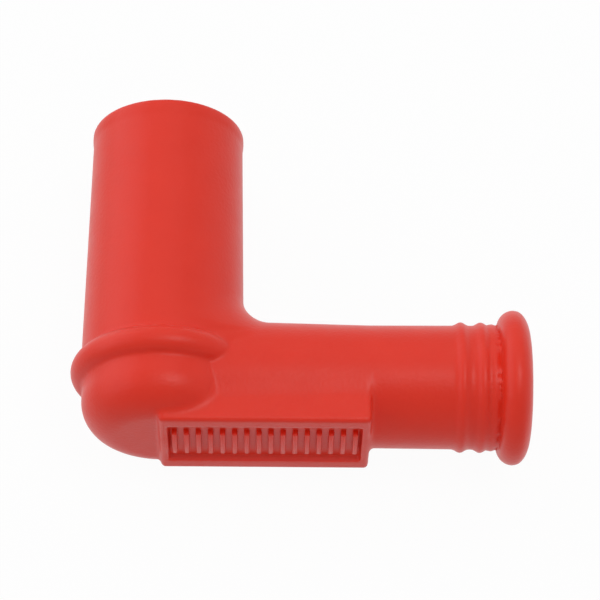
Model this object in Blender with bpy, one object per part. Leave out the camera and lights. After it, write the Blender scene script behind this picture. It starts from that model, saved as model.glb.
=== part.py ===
"""Right-angle spark plug cap: a moulded silicone boot over an insulating core that carries the contacts.

The plug barrel runs along +Y and opens at its far end, where the spark plug goes in.
The lead leg runs along +X and opens at its beaded end, where the ignition lead goes in.
The cap lies on its side. Its origin is under the middle of its box, on the surface it lies on.
Sizes are in metres. Inside this file, pieces are drawn about the point where the two bores cross.
"""

import math

import bmesh
import bpy
from mathutils import Vector

# Clearances and mesh fineness
FIT_GAP = 0.0003
OUTER_SEGMENTS = 48
INNER_SEGMENTS = 32
MOUTH_STEPS = 3
BLIND_END_STEPS = 8
RING_STEPS = 10
RIB_STEPS = 6
BEAD_STEPS = 6
FILLET_SECTIONS = 18
FILLET_STEPS = 5
SMOOTH_ANGLE = math.radians(24)
MERGE_DISTANCE = 1e-7

# Boot, plug barrel
BARREL_BASE_RADIUS = 0.00935
BARREL_MOUTH_RADIUS = 0.00887
PLUG_REACH = 0.0331
MOUTH_LIP_HEIGHT = 0.00011
MOUTH_LIP_WIDTH = 0.0010
MOUTH_ROUND = 0.0004
BLIND_END_SETBACK = 0.00022
BLIND_END_DEPTH = 0.00668
BLIND_END_ROUND = 0.00434

# Boot, pull-off ring round the elbow
RING_CREST_HEIGHT = 0.00114
RING_SECTION_RADIUS = 0.00169
RING_CENTRE_Y = 0.00125

# Boot, lead leg with its grip ribs and end bead
LEG_ROOT_RADIUS = 0.0073
LEG_RADIUS = 0.00702
LEG_END_RADIUS = 0.00708
LEG_TAPER_START = 0.0100
LEAD_REACH = 0.0419
BEAD_RADIUS = 0.00886
BEAD_BACK_WIDTH = 0.0018
BEAD_FRONT_WIDTH = 0.00177
BEAD_FRONT_DROP = 0.0028
BEAD_FRONT_ANGLE = 75
RIB_HEIGHTS = (0.0004, 0.0004, 0.0002)
RIB_SETBACKS = (0.00783, 0.00554, 0.0043)
RIB_HALF_WIDTHS = (0.00095, 0.00095, 0.00067)

# Boot, squared body of the leg, with the framed panel of plain bars on its outer face
BLOCK_START = -0.00008
BLOCK_LENGTH = 0.02378
BLOCK_HALF_THICKNESS = 0.00636
BLOCK_FACE_DEPTH = 0.00743
BLOCK_EDGE_ROUND = 0.0005
PANEL_MARGIN_X = 0.0010
PANEL_HALF_HEIGHT = 0.0043
PANEL_DEPTH = 0.0007
BAR_COUNT = 16
BAR_WIDTH = 0.0006
BAR_HALF_HEIGHT = 0.0025
BAR_SINK = 0.0004
BAR_EDGE_ROUND = 0.00015

# Boot, fillet in the crook between barrel and leg
CROOK_ROUND = 0.0034
CROOK_BITE = 0.00006
CROOK_SWEEP = math.radians(76)
CROOK_DEPTH_FACTOR = 1.3

# Boot, bores
PLUG_BORE_RADIUS = 0.0051
PLUG_BORE_CHAMFER = 0.0008
LEAD_BORE_RADIUS = 0.0034
LEAD_BORE_CHAMFER = 0.0008
SEAL_LIP_COUNT = 3
SEAL_LIP_PITCH = 0.0026
SEAL_LIP_HEIGHT = 0.0003
SEAL_LIP_HALF_WIDTH = 0.0006
SEAL_FIRST_LIP = 0.0030

# Plug socket: solid head, slotted cup and inner latch bead
SOCKET_HEAD_RADIUS = 0.0042
SOCKET_HEAD_HALF_LENGTH = 0.0028
SOCKET_FLAT_DEPTH = 0.0009
SOCKET_CUP_RADIUS = 0.00325
SOCKET_CUP_WALL = 0.00055
SOCKET_CUP_DEPTH = 0.0092
SOCKET_LATCH_HEIGHT = 0.00015
SOCKET_SLOT_WIDTH = 0.0008
SOCKET_SLOT_LENGTH = 0.0068
SOCKET_CHAMFER = 0.0002
CLIP_SETBACK = 0.0026
CLIP_WIRE_RADIUS = 0.00035
CLIP_GROOVE_DEPTH = 0.0003
CLIP_SWEEP = math.radians(318)
CLIP_POINTS = 28

# Insulating core
CORE_WALL = 0.0012
CORE_FOOT_WALL = 0.0009
CORE_MOUTH_PROUD = 0.0004
ARM_WALL = 0.0015

# Resistor
RESISTOR_ROD_RADIUS = 0.00185
RESISTOR_ROD_LENGTH = 0.0094
RESISTOR_CAP_WALL = 0.00035
RESISTOR_CAP_LENGTH = 0.0020

# Contact spring
SPRING_LENGTH = 0.0035
SPRING_TURNS = 4
SPRING_WIRE_RADIUS = 0.0003
SPRING_POINTS_PER_TURN = 16

# Lead screw
SCREW_HEAD_LENGTH = 0.0027
SCREW_FLANGE_RADIUS = 0.0037
SCREW_FLANGE_THICKNESS = 0.0008
SCREW_SHANK_RADIUS = 0.0016
SCREW_SHANK_LENGTH = 0.0014
SCREW_POINT_LENGTH = 0.0070

# Places worked out from the sizes above
BLIND_END_RADIUS = BARREL_BASE_RADIUS - BLIND_END_SETBACK
RING_CREST_RADIUS = BARREL_BASE_RADIUS + RING_CREST_HEIGHT
RING_MIDDLE_RADIUS = RING_CREST_RADIUS - RING_SECTION_RADIUS
RING_START_ANGLE = math.asin((BARREL_BASE_RADIUS - RING_MIDDLE_RADIUS) / RING_SECTION_RADIUS)
RING_END_ANGLE = math.pi - math.asin((BLIND_END_RADIUS - RING_MIDDLE_RADIUS) / RING_SECTION_RADIUS)
RING_EDGE_Y = RING_CENTRE_Y + RING_SECTION_RADIUS * math.cos(RING_START_ANGLE)
SOCKET_BORE_RADIUS = SOCKET_HEAD_RADIUS + FIT_GAP
CORE_RADIUS = SOCKET_BORE_RADIUS + CORE_WALL
CORE_CAVITY_RADIUS = CORE_RADIUS + FIT_GAP
CUP_OUTER_RADIUS = SOCKET_CUP_RADIUS + SOCKET_CUP_WALL
SOCKET_MOUTH_Y = SOCKET_HEAD_HALF_LENGTH + SOCKET_CUP_DEPTH
CORE_MOUTH_Y = SOCKET_MOUTH_Y + CORE_MOUTH_PROUD
SOCKET_BORE_FLOOR_Y = -SOCKET_HEAD_HALF_LENGTH - FIT_GAP
CORE_FOOT_Y = SOCKET_BORE_FLOOR_Y - CORE_FOOT_WALL
SOCKET_FLAT_X = SOCKET_HEAD_RADIUS - SOCKET_FLAT_DEPTH
RESISTOR_CAP_RADIUS = RESISTOR_ROD_RADIUS + FIT_GAP + RESISTOR_CAP_WALL
ARM_BORE_RADIUS = RESISTOR_CAP_RADIUS + FIT_GAP
ARM_RADIUS = ARM_BORE_RADIUS + ARM_WALL
ARM_CAVITY_RADIUS = ARM_RADIUS + FIT_GAP
CAP_INNER_X = SOCKET_FLAT_X + FIT_GAP
ROD_START_X = CAP_INNER_X + RESISTOR_CAP_WALL + FIT_GAP
ROD_END_X = ROD_START_X + RESISTOR_ROD_LENGTH
CAP_OUTER_X = ROD_END_X + FIT_GAP + RESISTOR_CAP_WALL
SPRING_START_X = CAP_OUTER_X + FIT_GAP
SPRING_END_X = SPRING_START_X + SPRING_LENGTH
SCREW_START_X = SPRING_END_X + FIT_GAP
ARM_END_X = SCREW_START_X + SCREW_HEAD_LENGTH
FLANGE_END_X = ARM_END_X + FIT_GAP + SCREW_FLANGE_THICKNESS
LEAD_BORE_START_X = FLANGE_END_X + FIT_GAP
BLOCK_END_X = BLOCK_START + BLOCK_LENGTH
LOWEST_Y = -max(BLOCK_FACE_DEPTH, BLIND_END_DEPTH, BEAD_RADIUS)
CROSSING = Vector((
    (RING_CREST_RADIUS - LEAD_REACH) / 2,
    -(PLUG_REACH + LOWEST_Y) / 2,
    max(RING_CREST_RADIUS, BEAD_RADIUS),
))


def clear_scene():
    for old in list(bpy.data.objects):
        bpy.data.objects.remove(old)


def material(name, colour, roughness, metallic=0.0):
    made = bpy.data.materials.new(name)
    made.use_nodes = True
    shader = made.node_tree.nodes["Principled BSDF"]
    shader.inputs["Base Color"].default_value = (*colour, 1.0)
    shader.inputs["Roughness"].default_value = roughness
    shader.inputs["Metallic"].default_value = metallic
    return made


def object_from(bm, name, finish=None):
    """Makes an object of a bmesh, shaded smooth, at the crossing of the bores."""
    bmesh.ops.remove_doubles(bm, verts=bm.verts, dist=MERGE_DISTANCE)
    bmesh.ops.recalc_face_normals(bm, faces=bm.faces)
    mesh = bpy.data.meshes.new(name)
    bm.to_mesh(mesh)
    bm.free()
    mesh.shade_smooth()
    mesh.set_sharp_from_angle(angle=SMOOTH_ANGLE)
    made = bpy.data.objects.new(name, mesh)
    bpy.context.scene.collection.objects.link(made)
    made.parent = crossing
    if finish:
        mesh.materials.append(finish)
    return made


def helper(made):
    """Marks an object as a tool for a Boolean, which isn't a piece."""
    made.hide_render = True
    made.display_type = "WIRE"
    return made


def boolean(target, tool, operation):
    step = target.modifiers.new(f"{operation.lower()}_{tool.name}", "BOOLEAN")
    step.operation = operation
    step.solver = "EXACT"
    step.object = helper(tool)


def turned(name, profile, axis, segments, finish=None):
    """Spins (place along the axis, radius) points round the X or Y axis into a closed body."""
    bm = bmesh.new()
    across = Vector((0, 0, 1))
    along = Vector((1, 0, 0)) if axis == "X" else Vector((0, 1, 0))
    verts = [bm.verts.new(along * place + across * radius) for place, radius in profile]
    for first, second in zip(verts, verts[1:]):
        bm.edges.new((first, second))
    if profile[0][1] > 0 or profile[-1][1] > 0:
        bm.edges.new((verts[-1], verts[0]))
    bmesh.ops.spin(bm, geom=bm.verts[:] + bm.edges[:], cent=(0, 0, 0), axis=along,
                   angle=math.tau, steps=segments, use_merge=True)
    return object_from(bm, name, finish)


def arc(centre_place, centre_radius, half_width, height, start_deg, end_deg, steps):
    """Points on an ellipse in the profile's plane; 0 degrees points along the axis."""
    points = []
    for step in range(steps + 1):
        angle = math.radians(start_deg + (end_deg - start_deg) * step / steps)
        points.append((centre_place + half_width * math.cos(angle),
                       centre_radius + height * math.sin(angle)))
    return points


def box(name, low, high, finish=None):
    bm = bmesh.new()
    bmesh.ops.create_cube(bm, size=1.0)
    low, high = Vector(low), Vector(high)
    for vert in bm.verts:
        vert.co = (low + high) / 2 + vert.co * (high - low)
    return object_from(bm, name, finish)


def barrel_radius(y):
    """Outer radius of the plug barrel, which narrows from the ring towards its mouth."""
    share = min(max((y - RING_EDGE_Y) / (PLUG_REACH - MOUTH_LIP_WIDTH - RING_EDGE_Y), 0.0), 1.0)
    return BARREL_BASE_RADIUS + (BARREL_MOUTH_RADIUS - BARREL_BASE_RADIUS) * share


def leg_radius(x):
    """Outer radius of the lead leg, which narrows up to the end of the squared body."""
    share = min(max((x - LEG_TAPER_START) / (BLOCK_END_X - LEG_TAPER_START), 0.0), 1.0)
    return LEG_ROOT_RADIUS + (LEG_RADIUS - LEG_ROOT_RADIUS) * share


def barrel_profile():
    """From the plug mouth over the ring to the blind end."""
    lip_radius = BARREL_MOUTH_RADIUS + MOUTH_LIP_HEIGHT
    lip_end = PLUG_REACH - MOUTH_LIP_WIDTH
    points = [(PLUG_REACH, 0.0)]
    points += arc(PLUG_REACH - MOUTH_ROUND, lip_radius - MOUTH_ROUND, MOUTH_ROUND, MOUTH_ROUND,
                  0, 90, MOUTH_STEPS)
    points += [(lip_end, lip_radius), (lip_end - MOUTH_LIP_WIDTH, barrel_radius(lip_end - MOUTH_LIP_WIDTH))]
    points += arc(RING_CENTRE_Y, RING_MIDDLE_RADIUS, RING_SECTION_RADIUS, RING_SECTION_RADIUS,
                  math.degrees(RING_START_ANGLE), math.degrees(RING_END_ANGLE), RING_STEPS)
    points += arc(-BLIND_END_DEPTH + BLIND_END_ROUND, BLIND_END_RADIUS - BLIND_END_ROUND,
                  BLIND_END_ROUND, BLIND_END_ROUND, 90, 180, BLIND_END_STEPS)
    points.append((-BLIND_END_DEPTH, 0.0))
    return points


def rib_swell(x):
    """Height of the grip ribs above the leg."""
    swell = 0.0
    for setback, half_width, height in zip(RIB_SETBACKS, RIB_HALF_WIDTHS, RIB_HEIGHTS):
        share = min(abs(x - LEAD_REACH + setback) / half_width, 1.0)
        swell = max(swell, height * (1 + math.cos(math.pi * share)) / 2)
    return swell


def leg_profile():
    """From inside the elbow over the grip ribs to the beaded lead mouth."""
    bead_x = LEAD_REACH - BEAD_FRONT_WIDTH
    start_x = BLOCK_START + BLOCK_EDGE_ROUND
    points = [(start_x, 0.0), (start_x, LEG_ROOT_RADIUS), (LEG_TAPER_START, LEG_ROOT_RADIUS),
              (BLOCK_END_X, LEG_RADIUS)]
    rib_places = sorted(LEAD_REACH - setback + half_width * (2 * step / RIB_STEPS - 1)
                        for setback, half_width in zip(RIB_SETBACKS, RIB_HALF_WIDTHS)
                        for step in range(RIB_STEPS + 1))
    points += [(x, LEG_END_RADIUS + rib_swell(x)) for x in rib_places]
    points += arc(bead_x, LEG_END_RADIUS, BEAD_BACK_WIDTH, BEAD_RADIUS - LEG_END_RADIUS, 180, 90, BEAD_STEPS)
    points += arc(bead_x, BEAD_RADIUS - BEAD_FRONT_DROP, BEAD_FRONT_WIDTH, BEAD_FRONT_DROP,
                  BEAD_FRONT_ANGLE, 0, BEAD_STEPS - 1)
    points.append((LEAD_REACH, 0.0))
    return points


def sealed_bore(start, mouth, radius, chamfer):
    """Bore from a shoulder to a mouth, with seal lips inside the mouth and a lead-in chamfer."""
    past = mouth + chamfer
    lips = []
    for number in range(SEAL_LIP_COUNT):
        centre = mouth - SEAL_FIRST_LIP - number * SEAL_LIP_PITCH
        lips += [(centre + SEAL_LIP_HALF_WIDTH, radius), (centre, radius - SEAL_LIP_HEIGHT),
                 (centre - SEAL_LIP_HALF_WIDTH, radius)]
    return [(start, 0.0), (start, radius), *reversed(lips), (mouth - chamfer, radius),
            (past, radius + 2 * chamfer), (past, 0.0)]


def plug_cavity_profile():
    """Pocket for the core, then the bore that grips the plug's insulator."""
    bore = sealed_bore(CORE_MOUTH_Y + FIT_GAP, PLUG_REACH, PLUG_BORE_RADIUS, PLUG_BORE_CHAMFER)
    pocket = [(CORE_FOOT_Y - FIT_GAP, 0.0), (CORE_FOOT_Y - FIT_GAP, CORE_CAVITY_RADIUS),
              (CORE_MOUTH_Y + FIT_GAP, CORE_CAVITY_RADIUS)]
    return pocket + bore[1:]


def lead_cavity_profile():
    """Pocket for the core's arm, then the bore that grips the ignition lead."""
    bore = sealed_bore(LEAD_BORE_START_X, LEAD_REACH, LEAD_BORE_RADIUS, LEAD_BORE_CHAMFER)
    return [(0.0, 0.0), (0.0, ARM_CAVITY_RADIUS), (LEAD_BORE_START_X, ARM_CAVITY_RADIUS)] + bore[1:]


def crook_fillet():
    """Body whose outer face is the path of a ball rolling in the crook, touching barrel and leg."""
    bm = bmesh.new()
    loops = []
    for section in range(FILLET_SECTIONS + 1):
        sweep = CROOK_SWEEP * (2 * section / FILLET_SECTIONS - 1)
        barrel_away = barrel_radius(LEG_ROOT_RADIUS) + CROOK_ROUND - CROOK_BITE
        leg_away = leg_radius(BARREL_BASE_RADIUS + CROOK_ROUND) + CROOK_ROUND - CROOK_BITE
        centre = Vector((0, leg_away * math.cos(sweep), leg_away * math.sin(sweep)))
        centre.x = math.sqrt(barrel_away ** 2 - centre.z ** 2)
        to_barrel = Vector((-centre.x, 0, -centre.z)).normalized()
        to_leg = Vector((0, -centre.y, -centre.z)).normalized()
        loop = [centre + CROOK_ROUND * to_barrel.slerp(to_leg, step / FILLET_STEPS)
                for step in range(FILLET_STEPS + 1)]
        loop.append(centre + CROOK_ROUND * CROOK_DEPTH_FACTOR * (to_barrel + to_leg))
        loops.append([bm.verts.new(point) for point in loop])
    for first, second in zip(loops, loops[1:]):
        for here, after in zip(range(len(first)), [*range(1, len(first)), 0]):
            bm.faces.new((first[here], first[after], second[after], second[here]))
    bm.faces.new(loops[0])
    bm.faces.new(loops[-1])
    return object_from(bm, "crook_fillet_shape")


def squared_body():
    """Box round the outer half of the leg, as thick as its two flat sides, with rounded edges."""
    made = box("block_shape", (BLOCK_START, -BLOCK_FACE_DEPTH, -BLOCK_HALF_THICKNESS),
               (BLOCK_END_X, 0.0, BLOCK_HALF_THICKNESS))
    bm = bmesh.new()
    bm.from_mesh(made.data)
    outer = [edge for edge in bm.edges
             if min(vert.co.y for vert in edge.verts) < -BLOCK_FACE_DEPTH / 2]
    bmesh.ops.bevel(bm, geom=outer, offset=BLOCK_EDGE_ROUND, segments=3, profile=0.5, affect="EDGES")
    bm.to_mesh(made.data)
    bm.free()
    return made


def panel_recess():
    return box("panel_recess_shape",
               (BLOCK_START + PANEL_MARGIN_X, -2 * BLOCK_FACE_DEPTH, -PANEL_HALF_HEIGHT),
               (BLOCK_END_X - PANEL_MARGIN_X, -BLOCK_FACE_DEPTH + PANEL_DEPTH, PANEL_HALF_HEIGHT))


def panel_bars():
    """Row of plain upright bars that fills the panel, flush with its frame."""
    bm = bmesh.new()
    first_x = BLOCK_START + PANEL_MARGIN_X
    pitch = (BLOCK_LENGTH - 2 * PANEL_MARGIN_X) / BAR_COUNT
    size = Vector((BAR_WIDTH, PANEL_DEPTH + BAR_SINK, 2 * BAR_HALF_HEIGHT))
    for number in range(BAR_COUNT):
        middle = Vector((first_x + (number + 0.5) * pitch, -BLOCK_FACE_DEPTH + size.y / 2, 0))
        cube = bmesh.ops.create_cube(bm, size=1.0)["verts"]
        for vert in cube:
            vert.co = middle + vert.co * size
        top = [edge for edge in {edge for vert in cube for edge in vert.link_edges}
               if all(vert.co.y < middle.y for vert in edge.verts)]
        bmesh.ops.bevel(bm, geom=top, offset=BAR_EDGE_ROUND, segments=1, affect="EDGES")
    return object_from(bm, "panel_bars_shape")


def make_boot(finish):
    boot = turned("boot", barrel_profile(), "Y", OUTER_SEGMENTS, finish)
    boolean(boot, turned("leg_shape", leg_profile(), "X", OUTER_SEGMENTS), "UNION")
    boolean(boot, squared_body(), "UNION")
    boolean(boot, crook_fillet(), "UNION")
    boolean(boot, panel_recess(), "DIFFERENCE")
    boolean(boot, panel_bars(), "UNION")
    boolean(boot, turned("plug_cavity_shape", plug_cavity_profile(), "Y", INNER_SEGMENTS), "DIFFERENCE")
    boolean(boot, turned("lead_cavity_shape", lead_cavity_profile(), "X", INNER_SEGMENTS), "DIFFERENCE")
    return boot


def make_core(finish):
    """Moulded insulator: an upright sleeve for the plug socket and an arm for the resistor."""
    sleeve = [(CORE_FOOT_Y, 0.0), (CORE_FOOT_Y, CORE_RADIUS), (CORE_MOUTH_Y, CORE_RADIUS),
              (CORE_MOUTH_Y, 0.0)]
    arm = [(0.0, 0.0), (0.0, ARM_RADIUS), (ARM_END_X, ARM_RADIUS), (ARM_END_X, 0.0)]
    socket_bore = [(SOCKET_BORE_FLOOR_Y, 0.0), (SOCKET_BORE_FLOOR_Y, SOCKET_BORE_RADIUS),
                   (CORE_MOUTH_Y + CORE_WALL, SOCKET_BORE_RADIUS), (CORE_MOUTH_Y + CORE_WALL, 0.0)]
    arm_bore = [(0.0, 0.0), (0.0, ARM_BORE_RADIUS), (ARM_END_X + ARM_WALL, ARM_BORE_RADIUS),
                (ARM_END_X + ARM_WALL, 0.0)]
    core = turned("insulator_core", sleeve, "Y", INNER_SEGMENTS, finish)
    boolean(core, turned("arm_shape", arm, "X", INNER_SEGMENTS), "UNION")
    boolean(core, turned("socket_bore_shape", socket_bore, "Y", INNER_SEGMENTS), "DIFFERENCE")
    boolean(core, turned("arm_bore_shape", arm_bore, "X", INNER_SEGMENTS), "DIFFERENCE")


def make_plug_socket(finish):
    """Turned brass socket: solid head with a flat for the resistor, and a four-fingered cup."""
    head, clip_y = SOCKET_HEAD_HALF_LENGTH, SOCKET_MOUTH_Y - CLIP_SETBACK
    groove = CUP_OUTER_RADIUS - CLIP_GROOVE_DEPTH
    groove_half = CLIP_WIRE_RADIUS + FIT_GAP / 2
    latch = SOCKET_CUP_RADIUS - SOCKET_LATCH_HEIGHT
    rim = SOCKET_MOUTH_Y - SOCKET_CHAMFER
    profile = [
        (-head, 0.0), (-head, SOCKET_HEAD_RADIUS - SOCKET_CHAMFER),
        (-head + SOCKET_CHAMFER, SOCKET_HEAD_RADIUS), (head, SOCKET_HEAD_RADIUS),
        (head, CUP_OUTER_RADIUS), (clip_y - groove_half, CUP_OUTER_RADIUS), (clip_y - groove_half, groove),
        (clip_y + groove_half, groove), (clip_y + groove_half, CUP_OUTER_RADIUS), (rim, CUP_OUTER_RADIUS),
        (SOCKET_MOUTH_Y, CUP_OUTER_RADIUS - SOCKET_CHAMFER),
        (SOCKET_MOUTH_Y, SOCKET_CUP_RADIUS + SOCKET_CHAMFER), (rim, SOCKET_CUP_RADIUS),
        (clip_y + groove_half, SOCKET_CUP_RADIUS), (clip_y, latch),
        (clip_y - groove_half, SOCKET_CUP_RADIUS), (head, SOCKET_CUP_RADIUS), (head, 0.0),
    ]
    socket = turned("plug_socket", profile, "Y", INNER_SEGMENTS, finish)
    slot_start, past = SOCKET_MOUTH_Y - SOCKET_SLOT_LENGTH, SOCKET_MOUTH_Y + SOCKET_CHAMFER
    half, reach = SOCKET_SLOT_WIDTH / 2, 2 * SOCKET_HEAD_RADIUS
    level_slot = box("level_slot_shape", (-reach, slot_start, -half), (reach, past, half))
    upright_slot = box("upright_slot_shape", (-half, slot_start, -reach), (half, past, reach))
    boolean(socket, level_slot, "DIFFERENCE")
    boolean(socket, upright_slot, "DIFFERENCE")
    flat = box("socket_flat_shape", (SOCKET_FLAT_X, -reach, -reach), (reach, head - SOCKET_CHAMFER, reach))
    boolean(socket, flat, "DIFFERENCE")


def wire(name, points, radius, finish):
    """Round wire with closed ends along a row of points."""
    curve = bpy.data.curves.new(name, "CURVE")
    curve.dimensions = "3D"
    curve.bevel_depth = radius
    curve.bevel_resolution = 2
    curve.use_fill_caps = True
    line = curve.splines.new("POLY")
    line.points.add(len(points) - 1)
    for point, place in zip(line.points, points):
        point.co = (*place, 1.0)
    curve.materials.append(finish)
    made = bpy.data.objects.new(name, curve)
    bpy.context.scene.collection.objects.link(made)
    made.parent = crossing
    return made


def make_clip_ring(finish):
    """Sprung wire ring, open on one side, in the groove round the socket's fingers."""
    radius = CUP_OUTER_RADIUS - CLIP_GROOVE_DEPTH + CLIP_WIRE_RADIUS + FIT_GAP / 2
    points = []
    for number in range(CLIP_POINTS):
        angle = CLIP_SWEEP * (number / (CLIP_POINTS - 1) - 0.5)
        points.append((radius * math.sin(angle), SOCKET_MOUTH_Y - CLIP_SETBACK, radius * math.cos(angle)))
    wire("socket_clip_ring", points, CLIP_WIRE_RADIUS, finish)


def make_resistor(ceramic, plated):
    """Ceramic rod with a pressed metal cap over each end."""
    rod = [(ROD_START_X, 0.0), (ROD_START_X, RESISTOR_ROD_RADIUS), (ROD_END_X, RESISTOR_ROD_RADIUS),
           (ROD_END_X, 0.0)]
    turned("resistor_rod", rod, "X", INNER_SEGMENTS, ceramic)
    ends = (("resistor_cap_inner", CAP_INNER_X, 1), ("resistor_cap_outer", CAP_OUTER_X, -1))
    for name, end_x, inwards in ends:
        inner = RESISTOR_CAP_RADIUS - RESISTOR_CAP_WALL
        floor_x = end_x + inwards * RESISTOR_CAP_WALL
        rim_x = end_x + inwards * RESISTOR_CAP_LENGTH
        cap = [(end_x, 0.0), (end_x, RESISTOR_CAP_RADIUS), (rim_x, RESISTOR_CAP_RADIUS), (rim_x, inner),
               (floor_x, inner), (floor_x, 0.0)]
        turned(name, cap, "X", INNER_SEGMENTS, plated)


def make_spring(finish):
    """Compression spring that presses the resistor against the socket's flat."""
    coil_radius = RESISTOR_CAP_RADIUS - SPRING_WIRE_RADIUS
    travel = SPRING_LENGTH - 2 * SPRING_WIRE_RADIUS
    count = SPRING_TURNS * SPRING_POINTS_PER_TURN
    points = []
    for number in range(count + 1):
        angle = math.tau * number / SPRING_POINTS_PER_TURN
        x = SPRING_START_X + SPRING_WIRE_RADIUS + travel * number / count
        points.append((x, coil_radius * math.cos(angle), coil_radius * math.sin(angle)))
    wire("contact_spring", points, SPRING_WIRE_RADIUS, finish)


def make_lead_screw(finish):
    """Brass screw: head in the core's arm, flange on its end, point that turns into the lead's strands."""
    flange_x = ARM_END_X + FIT_GAP
    shank_end = FLANGE_END_X + SCREW_SHANK_LENGTH
    profile = [
        (SCREW_START_X, 0.0), (SCREW_START_X, RESISTOR_CAP_RADIUS), (flange_x, RESISTOR_CAP_RADIUS),
        (flange_x, SCREW_FLANGE_RADIUS), (FLANGE_END_X, SCREW_FLANGE_RADIUS),
        (FLANGE_END_X, SCREW_SHANK_RADIUS), (shank_end, SCREW_SHANK_RADIUS),
        (shank_end + SCREW_POINT_LENGTH, 0.0),
    ]
    turned("lead_screw", profile, "X", INNER_SEGMENTS, finish)


clear_scene()
crossing = bpy.data.objects.new("bore_crossing", None)
bpy.context.scene.collection.objects.link(crossing)
crossing.location = CROSSING

red_silicone = material("red_silicone", (0.69, 0.05, 0.035), 0.5)
phenolic = material("phenolic", (0.03, 0.02, 0.015), 0.45)
brass = material("brass", (0.80, 0.58, 0.25), 0.3, 1.0)
spring_steel = material("spring_steel", (0.55, 0.55, 0.56), 0.3, 1.0)
white_ceramic = material("white_ceramic", (0.80, 0.77, 0.70), 0.4)
nickel_plate = material("nickel_plate", (0.66, 0.64, 0.60), 0.25, 1.0)

make_boot(red_silicone)
make_core(phenolic)
make_plug_socket(brass)
make_clip_ring(spring_steel)
make_resistor(white_ceramic, nickel_plate)
make_spring(spring_steel)
make_lead_screw(brass)
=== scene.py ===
import itertools
import math

import bmesh
import bpy
import numpy as np
from mathutils import Matrix, Vector


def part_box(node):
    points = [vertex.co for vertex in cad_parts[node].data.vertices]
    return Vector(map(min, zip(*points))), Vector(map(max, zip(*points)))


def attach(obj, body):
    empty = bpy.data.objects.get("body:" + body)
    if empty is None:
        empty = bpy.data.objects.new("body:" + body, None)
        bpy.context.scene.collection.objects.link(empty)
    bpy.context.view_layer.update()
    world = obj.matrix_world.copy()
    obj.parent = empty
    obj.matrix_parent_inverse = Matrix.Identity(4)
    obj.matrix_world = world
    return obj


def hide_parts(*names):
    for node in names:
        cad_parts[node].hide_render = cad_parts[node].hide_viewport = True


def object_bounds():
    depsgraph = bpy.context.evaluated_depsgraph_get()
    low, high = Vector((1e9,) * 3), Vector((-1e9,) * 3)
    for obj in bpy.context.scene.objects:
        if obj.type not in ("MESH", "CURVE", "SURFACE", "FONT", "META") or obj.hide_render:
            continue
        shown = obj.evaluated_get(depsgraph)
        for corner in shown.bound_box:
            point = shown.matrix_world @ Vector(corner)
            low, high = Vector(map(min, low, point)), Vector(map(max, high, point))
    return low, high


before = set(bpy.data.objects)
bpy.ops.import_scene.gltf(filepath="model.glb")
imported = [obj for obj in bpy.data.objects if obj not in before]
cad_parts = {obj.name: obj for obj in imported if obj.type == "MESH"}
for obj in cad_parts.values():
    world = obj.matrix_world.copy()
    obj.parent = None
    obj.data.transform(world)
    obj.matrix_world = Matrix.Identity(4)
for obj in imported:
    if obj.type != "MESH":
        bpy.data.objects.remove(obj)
cad_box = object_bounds()

# Insulating core
# Dark phenolic moulding with an upright sleeve for the plug socket and an arm for the resistor. It is
# pressed in one shot round a pin for each bore, and the finished core is pushed into the soft boot.
core_low, core_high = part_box("insulator_core")
socket_low, socket_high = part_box("plug_socket")
screw_low, screw_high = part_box("lead_screw")
cap_low, cap_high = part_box("resistor_cap_inner")
screw_middle = (screw_low + screw_high) / 2
crossing = Vector(((socket_low.x + socket_high.x) / 2, screw_middle.y, screw_middle.z))

FIT_GAP = 0.0003
SOCKET_FOOT_Y = socket_low.y - crossing.y
SOCKET_RADIUS = (socket_high.z - socket_low.z) / 2
CAP_RADIUS = (cap_high.z - cap_low.z) / 2
CORE_FOOT_Y = core_low.y - crossing.y
CORE_MOUTH_Y = core_high.y - crossing.y
CORE_RADIUS = (core_high.z - core_low.z) / 2
ARM_END_X = core_high.x - crossing.x
ARM_RADIUS = 0.0043
ARM_ROOT_ROUND = 0.0006
CORE_EDGE_ROUND = 0.0002
CORE_SKIN_STEP = 0.00025
SKIN_MARGIN = 2
SKIN_RELAX_ROUNDS = 3
SETTLE_ROUNDS = 3
PROBE = 0.00001
LEAST_STEEPNESS = 0.1
SHARP_EDGE = math.radians(50)


def drum(place, away, start, end, radius, edge):
    """Signed distance to a round bar with rounded rims, from the place along its axis and away from it."""
    past_end = np.abs(place - (start + end) / 2) - ((end - start) / 2 - edge)
    past_side = away - (radius - edge)
    outside = np.hypot(np.maximum(past_end, 0), np.maximum(past_side, 0))
    return outside + np.minimum(np.maximum(past_end, past_side), 0) - edge


def joined(first, second, fillet):
    """Signed distance to two bodies moulded together, with a hollow fillet between them."""
    hollow = np.hypot(np.maximum(fillet - first, 0), np.maximum(fillet - second, 0))
    return np.maximum(fillet, np.minimum(first, second)) - hollow


def cut(body, tool, edge):
    """Signed distance to a body less a tool, with the new edge rounded."""
    return -joined(-body, tool, edge)


def core_distance(x, y, z):
    """Signed distance to the moulding, from the point where its bores cross."""
    from_sleeve_axis = np.hypot(x, z)
    from_arm_axis = np.hypot(y, z)
    sleeve = drum(y, from_sleeve_axis, CORE_FOOT_Y, CORE_MOUTH_Y, CORE_RADIUS, CORE_EDGE_ROUND)
    arm = drum(x, from_arm_axis, 0, ARM_END_X, ARM_RADIUS, CORE_EDGE_ROUND)
    socket_bore = drum(y, from_sleeve_axis, SOCKET_FOOT_Y - FIT_GAP, CORE_MOUTH_Y + CORE_RADIUS,
                       SOCKET_RADIUS + FIT_GAP, CORE_EDGE_ROUND)
    arm_bore = drum(x, from_arm_axis, 0, ARM_END_X + ARM_RADIUS, CAP_RADIUS + FIT_GAP, CORE_EDGE_ROUND)
    return cut(joined(sleeve, arm, ARM_ROOT_ROUND), np.minimum(socket_bore, arm_bore), CORE_EDGE_ROUND)


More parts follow.
